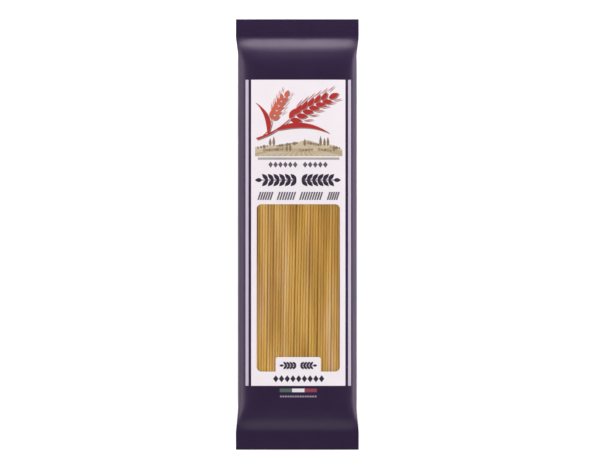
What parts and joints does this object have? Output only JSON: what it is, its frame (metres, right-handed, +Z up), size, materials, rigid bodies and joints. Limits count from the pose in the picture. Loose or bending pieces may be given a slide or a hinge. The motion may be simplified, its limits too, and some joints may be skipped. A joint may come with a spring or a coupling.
{
  "type": "pasta packet",
  "caption": "Flat sealed film packet of spaghetti with ribbed end seals, tucked sides, a folded back seam and a clear window in its printed front.",
  "frame": {"origin": "under the middle of the packet, on the surface that it lies on", "axes": "+Y along the packet towards its top seal, +X to the right as the front is read, +Z up through the printed front"},
  "size_m": [0.0856, 0.3, 0.022],
  "materials": {
    "printed_film": "satin printed film",
    "clear_film": "clear film",
    "pasta": "dry, slightly waxy"
  },
  "bodies": {
    "root": {"printed_film": "printed_film", "clear_window": "clear_film", "spaghetti": "pasta"}
  },
  "joints": []
}
